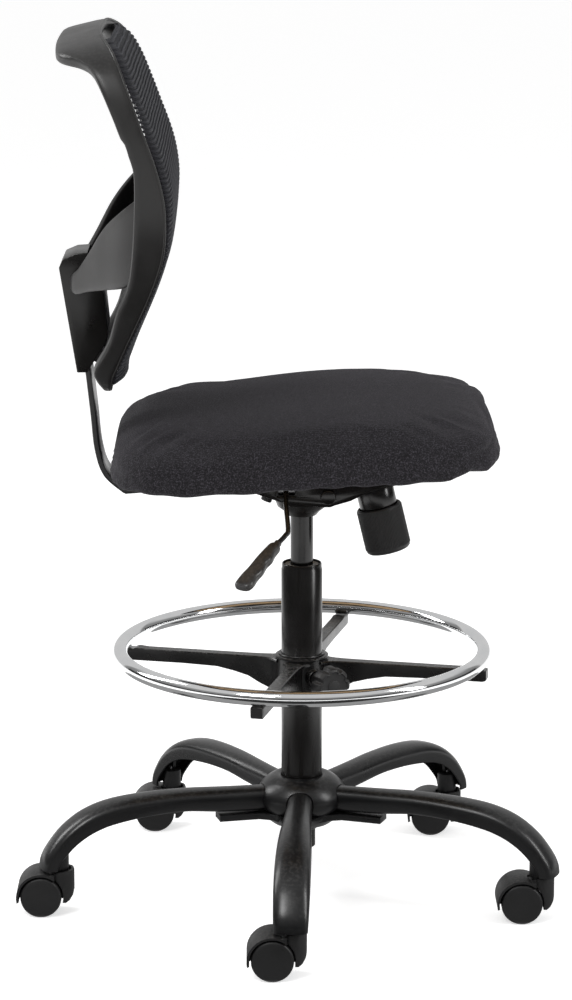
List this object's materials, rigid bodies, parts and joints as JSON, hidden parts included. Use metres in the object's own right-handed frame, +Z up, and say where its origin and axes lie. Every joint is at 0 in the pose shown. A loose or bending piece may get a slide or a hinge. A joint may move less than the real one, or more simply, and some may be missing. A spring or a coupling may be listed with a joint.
{
  "type": "drafting chair",
  "caption": "Drafting chair: padded tilting seat and ribbed mesh back on a gas-lift column with a chrome foot ring and a star base on twin-wheel casters.",
  "frame": {"origin": "on the floor under the middle of the chair's box", "axes": "+X to the front of the seat, +Y to the sitter's left, +Z up"},
  "size_m": [0.6602, 0.6144, 1.0755],
  "materials": {
    "black_paint": "satin black powder coat",
    "dark_steel": "smooth black enamel",
    "bright_steel": "bright zinc-plated steel",
    "chrome": "polished chrome",
    "black_plastic": "moulded black, fine grain",
    "grey_plastic": "moulded dark grey, satin",
    "seat_fabric": "charcoal woven upholstery",
    "mesh_fabric": "black ribbed mesh",
    "plywood": "bare plywood"
  },
  "bodies": {
    "base": {"base_hub": "black_paint", "base_brace": "black_paint", "column_tube": "dark_steel", "column_bush": "grey_plastic", "leg_1": "black_paint", "leg_2": "black_paint", "leg_3": "black_paint", "leg_4": "black_paint", "leg_5": "black_paint", "caster_stem_1": "bright_steel", "caster_stem_2": "bright_steel", "caster_stem_3": "bright_steel", "caster_stem_4": "bright_steel", "caster_stem_5": "bright_steel"},
    "piston": {"piston_rod": "bright_steel", "thrust_bearing": "bright_steel"},
    "lift": {"gas_cylinder": "dark_steel", "mechanism_housing": "dark_steel", "stop_screw": "black_plastic", "tilt_pin": "dark_steel", "spring_cup": "dark_steel", "tilt_spring": "bright_steel"},
    "button": {"release_button": "bright_steel"},
    "lever_slide": {"tilt_lock": "bright_steel"},
    "lever": {"lever_rod": "dark_steel", "lever_grip": "grey_plastic"},
    "bolt": {"tension_bolt": "bright_steel"},
    "nut": {"tension_nut": "bright_steel"},
    "knob": {"tension_knob": "grey_plastic"},
    "seat": {"seat_plate": "dark_steel", "seat_board": "plywood", "seat_cushion": "seat_fabric", "back_bar": "black_paint"},
    "backrest": {"back_bracket": "black_plastic", "back_frame": "grey_plastic", "back_mesh": "mesh_fabric"},
    "ring_sleeve": {"ring_sleeve": "grey_plastic"},
    "foot_rest": {"ring_spider": "black_paint", "foot_ring": "chrome"},
    "ring_knob": {"ring_clamp_knob": "grey_plastic"},
    "caster_1": {"caster_body_1": "black_plastic", "caster_axle_1": "bright_steel"},
    "wheel_1_left": {"wheel_1_left": "black_plastic"},
    "wheel_1_right": {"wheel_1_right": "black_plastic"},
    "caster_2": {"caster_body_2": "black_plastic", "caster_axle_2": "bright_steel"},
    "wheel_2_left": {"wheel_2_left": "black_plastic"},
    "wheel_2_right": {"wheel_2_right": "black_plastic"},
    "caster_3": {"caster_body_3": "black_plastic", "caster_axle_3": "bright_steel"},
    "wheel_3_left": {"wheel_3_left": "black_plastic"},
    "wheel_3_right": {"wheel_3_right": "black_plastic"},
    "caster_4": {"caster_body_4": "black_plastic", "caster_axle_4": "bright_steel"},
    "wheel_4_left": {"wheel_4_left": "black_plastic"},
    "wheel_4_right": {"wheel_4_right": "black_plastic"},
    "caster_5": {"caster_body_5": "black_plastic", "caster_axle_5": "bright_steel"},
    "wheel_5_left": {"wheel_5_left": "black_plastic"},
    "wheel_5_right": {"wheel_5_right": "black_plastic"}
  },
  "joints": [
    {"name": "seat_swivel", "type": "hinge", "parent": "base", "child": "piston", "pos_m": [0.01805, 0.02391, 0.3], "axis": [0, 0, 1], "continuous": true},
    {"name": "seat_lift", "type": "slide", "parent": "piston", "child": "lift", "axis": [0, 0, 1], "range_m": [0, 0.24]},
    {"name": "lever_pull", "type": "slide", "parent": "lift", "child": "lever_slide", "axis": [0, -1, 0], "range_m": [0, 0.008]},
    {"name": "lever_lift", "type": "hinge", "parent": "lever_slide", "child": "lever", "pos_m": [-0.00095, -0.02209, 0.523], "axis": [-1, 0, 0], "range_deg": [0, 6], "stiffness_Nm_per_rad": 2, "springref_deg": -5.73},
    {"name": "button_press", "type": "slide", "parent": "lift", "child": "button", "axis": [0, 0, -1], "range_m": [0, 0.005], "stiffness_N_per_m": 400, "springref_m": -0.002},
    {"name": "seat_tilt", "type": "hinge", "parent": "lift", "child": "seat", "pos_m": [0.04905, 0.02391, 0.512], "axis": [0, -1, 0], "range_deg": [0, 10], "stiffness_Nm_per_rad": 200, "springref_deg": -14.32},
    {"name": "bolt_rise", "type": "slide", "parent": "lift", "child": "bolt", "axis": [-0.2317, 0, 0.9728], "range_m": [0, 0.0099], "deforming": ["tilt_spring"]},
    {"name": "nut_travel", "type": "slide", "parent": "bolt", "child": "nut", "axis": [-0.2317, 0, 0.9728], "range_m": [-0.006, 0.0015], "deforming": ["tilt_spring"]},
    {"name": "tension_turn", "type": "hinge", "parent": "nut", "child": "knob", "pos_m": [0.11105, 0.02391, 0.4915], "axis": [-0.2317, 0, 0.9728], "range_deg": [-1440, 360]},
    {"name": "back_height", "type": "slide", "parent": "seat", "child": "backrest", "axis": [-0.1547, 0, 0.988], "range_m": [0, 0.06]},
    {"name": "ring_height", "type": "slide", "parent": "base", "child": "ring_sleeve", "axis": [0, 0, 1], "range_m": [-0.09, 0.1]},
    {"name": "ring_turn", "type": "hinge", "parent": "ring_sleeve", "child": "foot_rest", "pos_m": [0.01805, 0.02391, 0.28], "axis": [0, 0, 1], "continuous": true},
    {"name": "clamp_turn", "type": "hinge", "parent": "foot_rest", "child": "ring_knob", "pos_m": [0.01805, 0.02391, 0.282], "axis": [0.4695, -0.8829, 0], "range_deg": [0, 720]},
    {"name": "caster_swivel_1", "type": "hinge", "parent": "base", "child": "caster_1", "pos_m": [0.00199, -0.28267, 0.05], "axis": [0, 0, 1], "continuous": true},
    {"name": "wheel_spin_1_left", "type": "hinge", "parent": "caster_1", "child": "wheel_1_left", "pos_m": [-0.01971, -0.28267, 0.025], "axis": [0, 1, 0], "continuous": true},
    {"name": "wheel_spin_1_right", "type": "hinge", "parent": "caster_1", "child": "wheel_1_right", "pos_m": [-0.01971, -0.28267, 0.025], "axis": [0, 1, 0], "continuous": true},
    {"name": "caster_swivel_2", "type": "hinge", "parent": "base", "child": "caster_2", "pos_m": [0.30466, -0.08611, 0.05], "axis": [0, 0, 1], "continuous": true},
    {"name": "wheel_spin_2_left", "type": "hinge", "parent": "caster_2", "child": "wheel_2_left", "pos_m": [0.28296, -0.08611, 0.025], "axis": [0, 1, 0], "continuous": true},
    {"name": "wheel_spin_2_right", "type": "hinge", "parent": "caster_2", "child": "wheel_2_right", "pos_m": [0.28296, -0.08611, 0.025], "axis": [0, 1, 0], "continuous": true},
    {"name": "caster_swivel_3", "type": "hinge", "parent": "base", "child": "caster_3", "pos_m": [0.21125, 0.26249, 0.05], "axis": [0, 0, 1], "continuous": true},
    {"name": "wheel_spin_3_left", "type": "hinge", "parent": "caster_3", "child": "wheel_3_left", "pos_m": [0.18955, 0.26249, 0.025], "axis": [0, 1, 0], "continuous": true},
    {"name": "wheel_spin_3_right", "type": "hinge", "parent": "caster_3", "child": "wheel_3_right", "pos_m": [0.18955, 0.26249, 0.025], "axis": [0, 1, 0], "continuous": true},
    {"name": "caster_swivel_4", "type": "hinge", "parent": "base", "child": "caster_4", "pos_m": [-0.14915, 0.28138, 0.05], "axis": [0, 0, 1], "continuous": true},
    {"name": "wheel_spin_4_left", "type": "hinge", "parent": "caster_4", "child": "wheel_4_left", "pos_m": [-0.17085, 0.28138, 0.025], "axis": [0, 1, 0], "continuous": true},
    {"name": "wheel_spin_4_right", "type": "hinge", "parent": "caster_4", "child": "wheel_4_right", "pos_m": [-0.17085, 0.28138, 0.025], "axis": [0, 1, 0], "continuous": true},
    {"name": "caster_swivel_5", "type": "hinge", "parent": "base", "child": "caster_5", "pos_m": [-0.27849, -0.05555, 0.05], "axis": [0, 0, 1], "continuous": true},
    {"name": "wheel_spin_5_left", "type": "hinge", "parent": "caster_5", "child": "wheel_5_left", "pos_m": [-0.30019, -0.05555, 0.025], "axis": [0, 1, 0], "continuous": true},
    {"name": "wheel_spin_5_right", "type": "hinge", "parent": "caster_5", "child": "wheel_5_right", "pos_m": [-0.30019, -0.05555, 0.025], "axis": [0, 1, 0], "continuous": true}
  ],
  "couplings": [
    {"joint": "button_press", "follows": "lever_lift", "m_per_rad": 0.046},
    {"joint": "bolt_rise", "follows": "seat_tilt", "m_per_rad": 0.056},
    {"joint": "nut_travel", "follows": "tension_turn", "m_per_rad": 0.000238}
  ]
}
